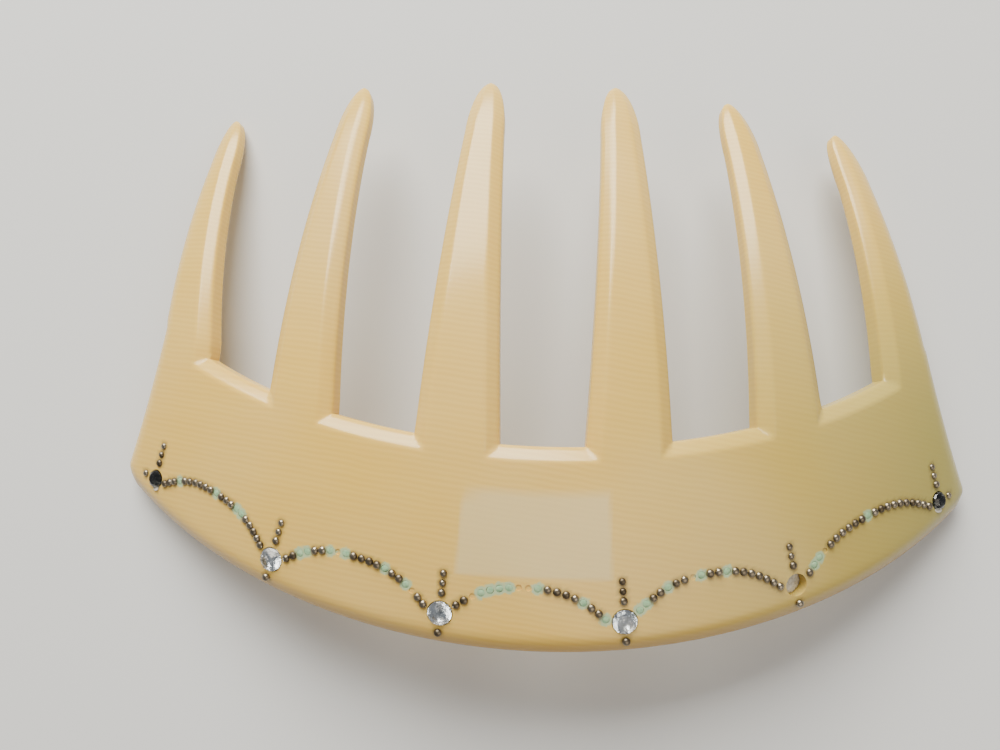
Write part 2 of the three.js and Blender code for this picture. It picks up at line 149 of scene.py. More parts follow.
def copies_at(template: bpy.types.Object, name: str, places: Sequence["Spot"]) -> bpy.types.Object:
    """Copies a template to several places on the flat sheet and joins the copies into one piece.

    Args:
        template: The object to copy, standing at the origin.
        name: Name of the joined piece.
        places: Where the copies stand, how large they are and how they are turned.

    Returns:
        The joined piece, still flat and in millimetres.
    """
    made = []
    for spot in places:
        twin = template.copy()
        twin.data = template.data.copy()
        twin.data.transform(
            Matrix.Translation((spot.across, spot.along, spot.height))
            @ Matrix.Rotation(spot.turn, 4, "Z")
            @ Matrix.Diagonal((*spot.scale, 1.0))
        )
        bpy.context.scene.collection.objects.link(twin)
        made.append(twin)
    clear_selection()
    for twin in made:
        twin.select_set(True)
    bpy.context.view_layer.objects.active = made[0]
    bpy.ops.object.join()
    made[0].name = name
    made[0].data.name = name
    return made[0]


def add_node(tree: bpy.types.NodeTree, kind: str, settings: dict[str, object] | None = None,
             **inputs: object) -> bpy.types.Node:
    """Adds one shader node.

    Args:
        tree: The material's node tree.
        kind: The node's type, without the ShaderNode prefix.
        settings: Values of the node's own properties.
        inputs: Input sockets by name, with underscores for spaces; i0, i1 ... name them by number. A
            value is set, and an output socket is linked.

    Returns:
        The new node.
    """
    node = tree.nodes.new("ShaderNode" + kind)
    for name, value in (settings or {}).items():
        setattr(node, name, value)
    for name, value in inputs.items():
        key: int | str = int(name[1:]) if name[0] == "i" and name[1:].isdigit() else name.replace("_", " ")
        socket = node.inputs[key]
        if isinstance(value, bpy.types.NodeSocket):
            tree.links.new(value, socket)
        else:
            socket.default_value = value
    return node


def new_material(name: str) -> tuple[bpy.types.Material, bpy.types.NodeTree, bpy.types.Node]:
    """Makes an empty material.

    Args:
        name: The real material and how it was worked.

    Returns:
        The material, its node tree, and its Principled shader, already linked to the output.
    """
    material = bpy.data.materials.new(name)
    material.use_nodes = True
    tree = material.node_tree
    tree.nodes.clear()
    shader = add_node(tree, "BsdfPrincipled")
    add_node(tree, "OutputMaterial", Surface=shader.outputs["BSDF"])
    return material, tree, shader


def speckle(tree: bpy.types.NodeTree, scale: float, detail: float) -> bpy.types.NodeSocket:
    """Adds fine noise fixed to the object: the scale is in cells per metre."""
    place = add_node(tree, "TexCoord").outputs["Object"]
    return add_node(tree, "TexNoise", Vector=place, Scale=scale, Detail=detail).outputs["Fac"]


def blend(tree: bpy.types.NodeTree, share: object, first: object, second: object) -> bpy.types.NodeSocket:
    """Mixes two colours: share 0 gives the first and share 1 the second."""
    return add_node(tree, "Mix", {"data_type": "RGBA"}, Factor=share, i6=first, i7=second).outputs[2]


def apply_placing() -> None:
    """Makes the active object's place, turn and size part of its mesh."""
    bpy.ops.object.transform_apply(location=True, rotation=True, scale=True)


def dress(piece: bpy.types.Object, material: bpy.types.Material) -> None:
    """Gives a piece one material."""
    piece.data.materials.clear()
    piece.data.materials.append(material)


# ---------------------------------------------------------------- the sheet and its outline


@dataclass(frozen=True)
class Spot:
    """A place on the flat sheet for one copy of a small piece, in millimetres."""

    across: float
    along: float
    height: float = 0.0
    turn: float = 0.0
    scale: tuple[float, float, float] = (1.0, 1.0, 1.0)


@dataclass(frozen=True)
class Tooth:
    """One tooth on the flat sheet, in millimetres."""

    root_at: float
    root_width: float
    nose_at: float
    nose_width: float
    tip: float
    hook: float


@dataclass(frozen=True)
class Outline:
    """The sawn outline of the flat comb, in millimetres: across the head, and along the teeth."""

    low: float = -6.2
    edge_radius: float = 98.9
    root_low: float = 13.7
    root_radius: float = 109.8
    reach_left: float = 49.0
    reach_right: float = 49.9
    corner_height: float = 0.5
    corner_round: float = 1.1
    side_bow: float = 0.75
    nose_length: float = 7.0
    teeth: tuple[Tooth, ...] = (
        Tooth(-41.75, 7.7, -45.65, 4.5, 50.6, -0.35),
        Tooth(-25.2, 7.6, -25.9, 4.6, 54.1, -0.2),
        Tooth(-8.35, 8.5, -8.15, 4.9, 54.3, 0.0),
        Tooth(8.55, 8.5, 8.75, 4.9, 54.0, -0.2),
        Tooth(25.45, 7.6, 24.6, 4.6, 52.8, -0.3),
        Tooth(41.5, 7.3, 41.0, 4.5, 49.9, -0.45),
    )

    def edge_height(self, across: float) -> float:
        """Height of the decorated edge's arc."""
        return self.low + self.edge_radius - math.sqrt(self.edge_radius ** 2 - across ** 2)

    def root_height(self, across: float) -> float:
        """Height of the arc that the bottoms of the gaps follow."""
        return self.root_low + self.root_radius - math.sqrt(self.root_radius ** 2 - across ** 2)

    def root_of(self, tooth: Tooth) -> float:
        """Height where a tooth leaves the crown."""
        return self.root_height(tooth.root_at)

    def middle_of(self, tooth: Tooth, along: float) -> float:
        """Middle of a tooth at some height: straight up to the nose, which hooks sideways."""
        root = self.root_of(tooth)
        nose = tooth.tip - self.nose_length
        lean = (tooth.nose_at - tooth.root_at) / (nose - root)
        share = max(along - nose, 0.0) / self.nose_length
        return tooth.root_at + lean * (max(along, root) - root) + tooth.hook * share * share

    def shrink_of(self, tooth: Tooth, along: float) -> float:
        """Share of its section that a tooth keeps at some height: 1 below the nose, 0 at the tip."""
        share = (along - tooth.tip + self.nose_length) / self.nose_length
        return math.sqrt(max(1.0 - max(share, 0.0) ** 2, 0.0016))

    def half_of(self, tooth: Tooth, along: float) -> float:
        """Half the width of a tooth at some height."""
        root = self.root_of(tooth)
        nose = tooth.tip - self.nose_length
        share = (min(max(along, root), nose) - root) / (nose - root)
        width = tooth.root_width + (tooth.nose_width - tooth.root_width) * share
        return self.shrink_of(tooth, along) * width / 2

    def side_top(self, side: int) -> Vector:
        """Top of the crown's side, where the outer flank of the end tooth begins."""
        tooth = self.teeth[0] if side < 0 else self.teeth[-1]
        across = tooth.root_at + side * tooth.root_width / 2
        return Vector((across, self.root_height(across)))

    def curves(self, side: int) -> tuple[tuple[Vector, ...], tuple[Vector, ...]]:
        """The rounded corner and the bowed side above it, each as three control points."""
        reach = self.reach_left if side < 0 else self.reach_right
        corner = Vector((side * reach, self.edge_height(reach) + self.corner_height))
        top = self.side_top(side)
        pull = corner.lerp(top, 0.5) - Vector((side * 2 * self.side_bow, 0))
        turn = corner + (pull - corner).normalized() * self.corner_round
        start = side * (reach - 1.6 * self.corner_round)
        return (Vector((start, self.edge_height(start))), corner, turn), (turn, pull, top)

    def lower_edge(self, across: float) -> float:
        """Height of the decorated edge, corners included, out to the middle of each corner."""
        side = -1 if across < 0 else 1
        corner = self.curves(side)[0]
        if side * across <= side * corner[0].x:
            return self.edge_height(across)
        return on_curve(corner, solve(lambda s: side * on_curve(corner, s).x, side * across, 0.0, 0.5)).y

    def side_edge(self, side: int, along: float) -> float:
        """Place across of the crown's side, from the middle of its corner upwards."""
        corner, flank = self.curves(side)
        if along >= flank[2].y:
            return flank[2].x
        if along >= flank[0].y:
            return on_curve(flank, solve(lambda s: on_curve(flank, s).y, along, 0.0, 1.0)).x
        return on_curve(corner, solve(lambda s: on_curve(corner, s).y, along, 0.5, 1.0)).x

    def outer_line(self) -> np.ndarray:
        """Points along the whole outer edge of the crown, from the left side to the right."""
        halves = []
        for side in (-1, 1):
            corner, flank = self.curves(side)
            top = flank[2]
            above = [Vector((top.x, top.y + rise)) for rise in np.linspace(6, 0.3, 20)]
            down = [on_curve(flank, share) for share in np.linspace(1, 0, 60)]
            turn = [on_curve(corner, share) for share in np.linspace(1, 0, 16)]
            halves.append([tuple(point) for point in above + down + turn])
        arc = np.linspace(halves[0][-1][0], halves[1][-1][0], 260)
        bottom = [(across, self.edge_height(across)) for across in arc]
        return np.array(halves[0] + bottom + halves[1][::-1])


def on_curve(points: Sequence[Vector], share: float) -> Vector:
    """Point of a quadratic curve with three control points."""
    first, pull, last = points
    rest = 1 - share
    return first * rest * rest + pull * 2 * rest * share + last * share * share


def solve(curve: Callable[[float], float], wanted: float, low: float, high: float) -> float:
    """Finds where a rising curve reaches a value, by halving.

    Args:
        curve: A function that rises from low to high.
        wanted: The value to reach.
        low: Lowest argument.
        high: Highest argument.

    Returns:
        The argument where the curve has that value.
    """
    for _ in range(30):
        middle = (low + high) / 2
        if curve(middle) < wanted:
            low = middle
        else:
            high = middle
    return (low + high) / 2


@dataclass
class Sheet:
    """The bent celluloid sheet: carries flat millimetres onto the comb as it lies, in metres."""

    outline: Outline = field(default_factory=Outline)
    thickness: float = 3.0
    nose_thickness: float = 2.2
    head_radius: float = 85.0
    tooth_radius: float = 91.0
    turn: Matrix = field(init=False)
    shift: Vector = field(default_factory=Vector)

    def __post_init__(self) -> None:
        """Finds how the comb is turned when it lies on its corners and its left outer tooth."""
        shape = self.outline
        left, right = (
            self.bend_point(side * reach, shape.edge_height(reach) + shape.corner_height, -self.surface)
            for side, reach in ((-1, shape.reach_left), (1, shape.reach_right))
        )
        tooth = shape.teeth[0]
        tip = self.bend_point(shape.middle_of(tooth, tooth.tip), tooth.tip, -self.nose_thickness / 2)
        upright = (right - left).cross(tip - left).normalized()
        self.turn = upright.rotation_difference(Vector((0, 0, 1))).to_matrix()

    @property
    def surface(self) -> float:
        """Height of the decorated face above the middle of the sheet."""
        return self.thickness / 2

    def bend(self, flat: np.ndarray) -> np.ndarray:
        """Bends flat points.

        Args:
            flat: Rows of across, along and height above the middle of the sheet.

        Returns:
            Rows of x, y and z in millimetres, with the apex of the crown at the origin.
        """
        across, along, height = flat.T
        sweep = np.maximum(along, 0) / self.tooth_radius
        drop = self.tooth_radius * (1 - np.cos(sweep))
        reach = np.where(along > 0, self.tooth_radius * np.sin(sweep), along)
        radius = self.head_radius - drop + height * np.cos(sweep)
        angle = across / self.head_radius
        return np.stack([
            radius * np.sin(angle),
            reach + height * np.sin(sweep),
            radius * np.cos(angle) - self.head_radius,
        ], axis=1)

    def bend_point(self, across: float, along: float, height: float) -> Vector:
        """Bends one flat point."""
        return Vector(self.bend(np.array([[across, along, height]], float))[0])

    def set_down(self, points: np.ndarray) -> np.ndarray:
        """Turns bent points and moves them to where the comb lies, in metres."""
        return (points @ np.array(self.turn).T + np.array(self.shift)) * MILLIMETRE

    def align(self, points: np.ndarray, box: tuple[Vector, Vector]) -> None:
        """Sets the shift that brings a bent body into the middle of its box, and down to its floor.

        Args:
            points: The body's bent vertices, in millimetres.
            box: Lowest and highest corner of the same body in the frame, in metres.
        """
        turned = points @ np.array(self.turn).T
        low, high = (np.array(corner) / MILLIMETRE for corner in box)
        shift = (low + high) / 2 - (turned.min(0) + turned.max(0)) / 2
        shift[2] = low[2] - turned[:, 2].min()
        self.shift = Vector(shift)

    def carry(self, piece: bpy.types.Object) -> np.ndarray:
        """Carries a piece from the flat sheet onto the comb.

        Args:
            piece: A mesh made flat, in millimetres.

        Returns:
            The flat points that it had, for its materials.
        """
        flat = read_points(piece)
        write_points(piece, self.set_down(self.bend(flat)))
        return flat


# ---------------------------------------------------------------- finishes


@dataclass(frozen=True)
class IvoryCelluloid:
    """French ivory: cast celluloid with parallel grain, polished, and yellowed with age."""

    light: str = "#E8C263"
    dark: str = "#DCB254"
    # Painted shade along the rounded lower edge.
    edge_shade: str = "#A67E36"
    # Painted reflection: the pale patch on the middle of the crown.
    pale_reflection: str = "#DCC997"
    shaded: str = "#979350"
    stain: str = "#9FC4A2"
    # Painted shadow round the pins and painted shade inside the empty socket.
    pin_and_socket_shade: str = "#6B5A35"
    grain_pitch: float = 0.56
    roughness: float = 0.22

    def layer(self, tree: bpy.types.NodeTree, below: bpy.types.NodeSocket, name: str, colour: str,
              strength: float, broken: bpy.types.NodeSocket | None = None) -> bpy.types.NodeSocket:
        """Lays one colour over another where a stored value says.

        Args:
            tree: The material's node tree.
            below: The colour underneath.
            name: The stored value.
            colour: The colour on top.
            strength: How much of it shows at most.
            broken: Noise that breaks up the edge of the colour.

        Returns:
            The mixed colour.
        """
        mask = add_node(tree, "Attribute", {"attribute_name": name}).outputs["Fac"]
        if broken is not None:
            jagged = add_node(tree, "Math", {"operation": "MULTIPLY_ADD"}, i0=broken, i1=1.1, i2=-0.55)
            mask = add_node(tree, "Math", {"operation": "ADD"}, i0=mask, i1=jagged.outputs[0]).outputs[0]
            mask = add_node(tree, "MapRange", {"interpolation_type": "SMOOTHSTEP"}, Value=mask,
                            i1=0.3, i2=0.75).outputs[0]
        share = add_node(tree, "Math", {"operation": "MULTIPLY"}, i0=mask, i1=strength)
        return blend(tree, share.outputs[0], below, linear(colour))

    def make(self) -> bpy.types.Material:
        """Builds the material.

        Returns:
            A warm, slightly translucent plastic whose grain lines run across the head.
        """
        material, tree, shader = new_material("ivory_celluloid_polished")
        sheet = add_node(tree, "Attribute", {"attribute_name": "grain"}).outputs["Vector"]
        # Grain: pressed layers a little over half a millimetre apart, which waver slightly.
        wave = add_node(
            tree, "TexWave", {"wave_type": "BANDS", "bands_direction": "Y", "wave_profile": "SIN"},
            Vector=sheet, Scale=math.pi / 10 / self.grain_pitch, Distortion=2.6, Detail=2.0,
            Detail_Scale=0.45,
        )
        squeeze = add_node(tree, "Mapping", Vector=sheet, Scale=(0.05, 1.3, 1.0))
        streak = add_node(
            tree, "TexNoise", Vector=squeeze.outputs[0], Scale=1.0, Detail=4.0, Roughness=0.65,
        )
        grain = add_node(tree, "Mix", {"data_type": "FLOAT"}, Factor=0.6,
                         i2=wave.outputs["Fac"], i3=streak.outputs["Fac"])
        body = blend(tree, grain.outputs[0], linear(self.dark), linear(self.light))
        # Cloudy yellowing some centimetres wide, and crumbs of a third of a millimetre.
        cloud = add_node(tree, "TexNoise", Vector=sheet, Scale=0.045, Detail=2.0)
        worn = add_node(tree, "HueSaturation", Color=body)
        tone = add_node(tree, "MapRange", Value=cloud.outputs["Fac"], i3=0.88, i4=1.1)
        tree.links.new(tone.outputs[0], worn.inputs["Saturation"])
        crumbs = add_node(tree, "TexNoise", Vector=sheet, Scale=3.0, Detail=3.0).outputs["Fac"]
        # Painted shade: darker and greener towards the right end of the crown.
        colour = self.layer(tree, worn.outputs[0], "right_end_shade", self.shaded, 0.85)
        # Painted reflection: the pale patch on the middle of the crown.
        colour = self.layer(tree, colour, "pale_reflection", self.pale_reflection, 0.6)
        # Painted shade along the rounded lower edge.
        colour = self.layer(tree, colour, "edge_shade", self.edge_shade, 0.9)
        colour = self.layer(tree, colour, "stain", self.stain, 0.75, crumbs)
        # Painted shadow round the pins and painted shade inside the empty socket.
        colour = self.layer(tree, colour, "pin_and_socket_shade", self.pin_and_socket_shade, 0.75)
        # Handling leaves the polish a little uneven, in patches some millimetres wide.
        smear = add_node(tree, "TexNoise", Vector=sheet, Scale=0.16, Detail=4.0)
        gloss = add_node(tree, "MapRange", Value=smear.outputs["Fac"],
                         i3=self.roughness - 0.04, i4=self.roughness + 0.07)
        bump = add_node(tree, "Bump", Strength=0.1, Distance=0.00003, Height=grain.outputs[0])
        tree.links.new(colour, shader.inputs["Base Color"])
        tree.links.new(gloss.outputs[0], shader.inputs["Roughness"])
        tree.links.new(bump.outputs[0], shader.inputs["Normal"])
        shader.inputs["IOR"].default_value = 1.5
        shader.inputs["Subsurface Weight"].default_value = 0.15
        shader.inputs["Subsurface Radius"].default_value = (1.0, 0.62, 0.3)
        shader.inputs["Subsurface Scale"].default_value = 0.001
        return material


@dataclass(frozen=True)
class PasteGlass:
    """Paste: lead glass, moulded and fire polished, with scuffed facet edges."""

    name: str = "lead_glass_fire_polished"
    tint: str = "#F4F8FA"
    roughness: float = 0.03
    ior: float = 1.62

    def make(self) -> bpy.types.Material:
        """Builds the material: clear glass whose sparkle comes from the foil behind it."""
        material, tree, shader = new_material(self.name)
        scuff = speckle(tree, 2600.0, 3.0)
        haze = add_node(tree, "MapRange", Value=scuff, i1=0.5, i2=0.8,
                        i3=self.roughness, i4=self.roughness + 0.12)
        tree.links.new(haze.outputs[0], shader.inputs["Roughness"])
        shader.inputs["Base Color"].default_value = linear(self.tint)
        shader.inputs["IOR"].default_value = self.ior
        shader.inputs["Transmission Weight"].default_value = 1.0
        return material


@dataclass(frozen=True)
class TinFoil:
    """Foil pressed behind a stone: bright tin, or tin gone dark where damp has reached it."""

    name: str = "tin_foil_pressed"
    bright: str = "#F4F5F5"
    dull: str = "#B4B6B4"
    spread: float = 0.2
    roughness: float = 0.14

    def make(self) -> bpy.types.Material:
        """Builds the material: metal with tarnish spots about half a millimetre wide."""
        material, tree, shader = new_material(self.name)
        spots = speckle(tree, 1900.0, 4.0)
        reach = add_node(tree, "MapRange", Value=spots, i1=0.65 - self.spread / 2, i2=0.75)
        tone = blend(tree, reach.outputs[0], linear(self.bright), linear(self.dull))
        creases = add_node(tree, "Bump", Strength=0.5, Distance=0.00005, Height=spots)
        tree.links.new(tone, shader.inputs["Base Color"])
        tree.links.new(creases.outputs[0], shader.inputs["Normal"])
        shader.inputs["Metallic"].default_value = 1.0
        shader.inputs["Roughness"].default_value = self.roughness
        return material


@dataclass(frozen=True)
class PinSteel:
    """Steel pins: drawn wire with domed, once polished heads, darkened by age."""

    worn: str = "#A59A86"
    dark: str = "#5F5443"
    roughness: float = 0.27

    def make(self) -> bpy.types.Material:
        """Builds the material: dark steel, with rust-brown film in patches."""
        material, tree, shader = new_material("steel_pin_heads_darkened")
        film = speckle(tree, 650.0, 3.0)
        share = add_node(tree, "MapRange", Value=film, i1=0.38, i2=0.62)
        tone = blend(tree, share.outputs[0], linear(self.worn), linear(self.dark))
        rough = add_node(tree, "MapRange", Value=film, i1=0.35, i2=0.65,
                         i3=self.roughness, i4=self.roughness + 0.2)
        tree.links.new(tone, shader.inputs["Base Color"])
        tree.links.new(rough.outputs[0], shader.inputs["Roughness"])
        shader.inputs["Metallic"].default_value = 1.0
        return material


@dataclass(frozen=True)
class ChalkyResidue:
    """What is left in a pit or socket: green copper corrosion, or dried cement with foil dust."""

    name: str
    light: str
    dark: str
    speck: float = 3200.0

    def make(self) -> bpy.types.Material:
        """Builds the material: matt and crumbly, with grains about a third of a millimetre wide."""
        material, tree, shader = new_material(self.name)
        crumbs = speckle(tree, self.speck, 5.0)
        spread = add_node(tree, "MapRange", Value=crumbs, i1=0.35, i2=0.65)
        tone = blend(tree, spread.outputs[0], linear(self.dark), linear(self.light))
        rough = add_node(tree, "Bump", Strength=0.7, Distance=0.00008, Height=crumbs)
        tree.links.new(tone, shader.inputs["Base Color"])
        tree.links.new(rough.outputs[0], shader.inputs["Normal"])
        shader.inputs["Roughness"].default_value = 0.85
        return material


# ---------------------------------------------------------------- decoration layout


class PitFill(Enum):
    """What a drilled pit of a swag holds today."""

    PIN = "p"
    GREEN = "g"
    EMPTY = "e"


@dataclass(frozen=True)
class Setting:
    """One stone setting, by its angle in degrees round the arc of the decorated edge."""

    angle: float
    stem_lean: float
    stone: bool = True
    dull: bool = False
    outer_pin: int = 0


@dataclass(frozen=True)
class Swag:
    """A row of pits that arches from one setting to the next."""

    pits: str
    rise: float
    middle: float


@dataclass(frozen=True)
class Layout:
    """Where stones, pins and pits stand on the flat crown, in millimetres."""

    outline: Outline = field(default_factory=Outline)
    edge_distance: float = 3.2
    stone_radius: float = 1.2
    end_radius: float = 0.95
    clearance: float = 0.08
    swag_pin: float = 0.44
    accent_pin: float = 0.38
    stem_gap: float = 0.39
    stem_space: float = 0.19
    stem_pins: int = 3
    drop_gap: float = 0.29
    swag_gap: float = 0.08
    arch_half: float = 0.447
    arch_fullness: float = 2.47
    settings: tuple[Setting, ...] = (
        Setting(-26.5, -14.0, dull=True, outer_pin=-1),
        Setting(-16.3, -16.3),
        Setting(-5.5, -4.0),
        Setting(5.0, 6.0),
        Setting(15.5, 14.5, stone=False),
        Setting(27.3, 15.0, dull=True, outer_pin=1),
    )
    swags: tuple[Swag, ...] = (
        Swag("pppgppppppgpppggppppp", 3.26, 0.513),
        Swag("ppggppgegppppgppgepp", 3.52, 0.491),
        Swag("ppeggggeegppppgppg", 3.42, 0.468),
        Swag("ggppgppegppgppppppp", 3.55, 0.477),
        Swag("pggeppppppgpppppppppp", 3.48, 0.491),
    )

    def radius_of(self, setting: Setting) -> float:
        """Radius of the stone of a setting: the two end stones are smaller."""
        return self.end_radius if setting.outer_pin else self.stone_radius

    def on_ring(self, degrees: float, rise: float = 0.0) -> Vector:
        """Point of the crown by its angle, and how far it lies above the ring of stones."""
        turn = math.radians(degrees)
        radius = self.outline.edge_radius - self.edge_distance - rise
        centre = self.outline.low + self.outline.edge_radius
        return Vector((radius * math.sin(turn), centre - radius * math.cos(turn)))

    def stem(self, setting: Setting) -> list[tuple[str, Vector]]:
        """Names and places of the single pins round one setting."""
        middle = self.on_ring(setting.angle)
        lean = math.radians(setting.stem_lean)
        up = Vector((-math.sin(lean), math.cos(lean)))
        touching = self.radius_of(setting) + self.clearance + self.accent_pin
        pitch = 2 * self.accent_pin + self.stem_space
        found = [
            (f"stem_{i + 1}", middle + up * (touching + self.stem_gap + pitch * i))
            for i in range(self.stem_pins)
        ]
        if setting.outer_pin:
            side = Vector((setting.outer_pin * math.cos(lean), abs(math.sin(lean))))
            found.append(("side", middle + side * (touching + self.drop_gap)))
        else:
            found.append(("drop", middle - up * (touching + self.drop_gap)))
        return found

    def pits(self, index: int) -> list[tuple[PitFill, Vector]]:
        """What each pit of one swag holds, and its place, evenly spaced between the two stones."""
        swag = self.swags[index]
        pair = self.settings[index:index + 2]
        ends = [
            (self.on_ring(end.angle), self.radius_of(end) + self.clearance + self.swag_gap + self.swag_pin)
            for end in pair
        ]
        clear = []
        for share in np.linspace(0, 1, 801):
            bend = abs((share - swag.middle) / self.arch_half) ** self.arch_fullness
            angle = pair[0].angle + (pair[1].angle - pair[0].angle) * share
            point = self.on_ring(angle, swag.rise * max(1 - bend, 0.0))
            if all((point - place).length >= reach for place, reach in ends):
                clear.append(point)
        gone = np.concatenate([[0.0], np.cumsum([(b - a).length for a, b in zip(clear, clear[1:])])])
        wanted = np.linspace(0, gone[-1], len(swag.pits))
        across = np.interp(wanted, gone, [p.x for p in clear])
        along = np.interp(wanted, gone, [p.y for p in clear])
        return [(PitFill(letter), Vector((a, b))) for letter, a, b in zip(swag.pits, across, along)]

    def runs(self, index: int) -> list[list[Vector]]:
        """Stretches of one swag whose pins stand side by side."""
        found: list[list[Vector]] = []
        before = None
        for fill, place in self.pits(index):
            if fill is PitFill.PIN and before is not PitFill.PIN:
                found.append([])
            if fill is PitFill.PIN:
                found[-1].append(place)
            before = fill
        return found


# ---------------------------------------------------------------- the comb body


@dataclass
class CombBody:
    """The sawn, chamfered and bent sheet with its drilled pits and sockets."""

    sheet: Sheet
    layout: Layout
    front_width: float = 1.3
    front_depth: float = 0.9
    back_width: float = 0.5
    back_depth: float = 0.5
    edge_steps: tuple[float, ...] = (0.0, 0.1, 0.4, 0.8, 1.12, 1.36, 1.65)
    edge_round: float = 0.11
    tooth_cells: int = 28
    gap_cells: int = 26
    swag_cells: int = 24
    swag_band: float = 7.0
    plain_cells: int = 9
    straight_cells: int = 24
    nose_cells: int = 12
    pit_radius: float = 0.37
    stem_pit_radius: float = 0.34
    pit_depth: float = 1.1
    dimple_radius: float = 0.3
    dimple_depth: float = 0.1
    lost_radius: float = 1.14
    socket_depth: float = 1.56
    grain_slope: float = 0.13
    grain_steepening: float = 0.0012
    # Outline of the painted reflection on the middle of the crown.
    patch_middle: float = -0.4
    patch_half: float = 6.9
    patch_low: float = 1.3
    patch_high: float = 9.4
    crisp: float = 0.2

    def build(self) -> bpy.types.Object:
        """Makes the body where it lies.

        Returns:
            The finished mesh, with the attributes that its material reads.
        """
        body = self.flat_body()
        self.drill(body)
        flat = read_points(body)
        self.sheet.align(self.sheet.bend(flat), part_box("comb_body"))
        self.sheet.carry(body)
        self.mark(body, flat)
        make_active(body)
        bpy.ops.object.shade_smooth_by_angle(angle=math.radians(32))
        return body

    @property
    def columns(self) -> int:
        """Number of cells across the whole comb."""
        teeth = len(self.sheet.outline.teeth)
        return teeth * self.tooth_cells + (teeth - 1) * self.gap_cells

    @property
    def crown_cells(self) -> int:
        """Number of cells along the crown, from the decorated edge to the roots."""
        return 2 * (len(self.edge_steps) - 1) + self.swag_cells + self.plain_cells

    @property
    def rows(self) -> int:
        """Number of cells along the comb, from the decorated edge to the tips."""
        return self.crown_cells + self.straight_cells + self.nose_cells

    def flat_body(self) -> bpy.types.Object:
        """Makes the flat slab: a grid with the gaps cut out, given its thickness and its chamfers."""
        clear_selection()
        bpy.ops.mesh.primitive_grid_add(x_subdivisions=self.columns, y_subdivisions=self.rows, size=2)
        body = bpy.context.object
        body.name = "celluloid_comb_body"
        body.data.name = body.name
        points = read_points(body)
        points[:, 0] = np.round((points[:, 0] + 1) / 2 * self.columns)
        points[:, 1] = np.round((points[:, 1] + 1) / 2 * self.rows)
        write_points(body, points)
        edit_faces(body, self.in_gap)
        bpy.ops.mesh.delete(type="FACE")
        bpy.ops.mesh.select_all(action="SELECT")
        for _ in range(3):
            bpy.ops.mesh.extrude_region_move(TRANSFORM_OT_translate={"value": (0, 0, -1)})
        bpy.ops.object.mode_set(mode="OBJECT")
        write_points(body, self.place_all(read_points(body)))
        make_active(body)
        bpy.ops.object.mode_set(mode="EDIT")
        bpy.ops.mesh.select_all(action="SELECT")
        bpy.ops.mesh.normals_make_consistent(inside=False)
        bpy.ops.object.mode_set(mode="OBJECT")
        return body

    def in_gap(self, face: bpy.types.MeshPolygon) -> bool:
        """Tells whether a face of the plain grid lies between two teeth."""
        across, along, _ = face.center
        return across % (self.tooth_cells + self.gap_cells) > self.tooth_cells and along > self.crown_cells

    def place_all(self, grid: np.ndarray) -> np.ndarray:
        """Puts every grid point, given by its column, row and layer, on the flat comb."""
        line = self.sheet.outline.outer_line()
        placed = {}
        result = np.empty_like(grid)
        for i, (column, row, layer) in enumerate(grid):
            key = int(round(column)), int(round(row))
            if key not in placed:
                across, along = self.place(*key)
                placed[key] = across, along, self.faces(*key, across, along, line)
            across, along, (front, back) = placed[key]
            share = {0: 0.0, 1: 0.22, 2: 0.78, 3: 1.0}[int(round(-layer))]
            result[i] = across, along, front + (back - front) * share
        return result

    def across_tooth(self, left: float, right: float, cell: int, width: float) -> float:
        """Place across of a grid line of a tooth, between its two flanks."""
        last = len(self.edge_steps) - 1
        half = (right - left) / 2
        scale = width / self.front_width
        from_edge = min(cell, self.tooth_cells - cell)
        if from_edge <= last:
            inward = self.edge_steps[from_edge] * scale
        else:
            start = self.edge_steps[last] * scale
            inward = start + (half - start) * (from_edge - last) / (self.tooth_cells / 2 - last)
        return left + inward if cell <= self.tooth_cells / 2 else right - inward

    def place(self, column: int, row: int) -> tuple[float, float]:
        """Place on the flat sheet of one grid point."""
        shape = self.sheet.outline
        period = self.tooth_cells + self.gap_cells
        index, cell = divmod(column, period)
        tooth = shape.teeth[min(index, len(shape.teeth) - 1)]
        if row > self.crown_cells:
            return self.place_on_tooth(tooth, cell, row)
        if cell > self.tooth_cells:
            left = tooth.root_at + tooth.root_width / 2
            nxt = shape.teeth[index + 1]
            right = nxt.root_at - nxt.root_width / 2
            across = left + (right - left) * (cell - self.tooth_cells) / self.gap_cells
            return across, self.crown_row(across, row)
        left = tooth.root_at - tooth.root_width / 2
        right = tooth.root_at + tooth.root_width / 2
        across = self.across_tooth(left, right, cell, self.front_width)
        along = self.crown_row(across, row)
        side = {0: -1, len(shape.teeth) - 1: 1}.get(index, 0)
        if side:
            low = on_curve(shape.curves(side)[0], 0.5).y
            for _ in range(6):
                edge = shape.side_edge(side, max(along, low))
                ends = (edge, right) if side < 0 else (left, edge)
                across = self.across_tooth(*ends, cell, self.front_width)
                along = self.crown_row(across, row)
        return across, along

    def crown_row(self, across: float, row: int) -> float:
        """Height of a crown row at some place across: close together at the chamfers."""
        low = self.sheet.outline.lower_edge(across)
        high = self.sheet.outline.root_height(across)
        steps = self.edge_steps
        last = len(steps) - 1
        if row <= last:
            return low + steps[row]
        if row >= self.crown_cells - last:
            return high - steps[self.crown_cells - row]
        if row <= last + self.swag_cells:
            return low + steps[last] + self.swag_band * (row - last) / self.swag_cells
        bottom = low + steps[last] + self.swag_band
        share = (row - last - self.swag_cells) / self.plain_cells
        return bottom + (high - steps[last] - bottom) * share

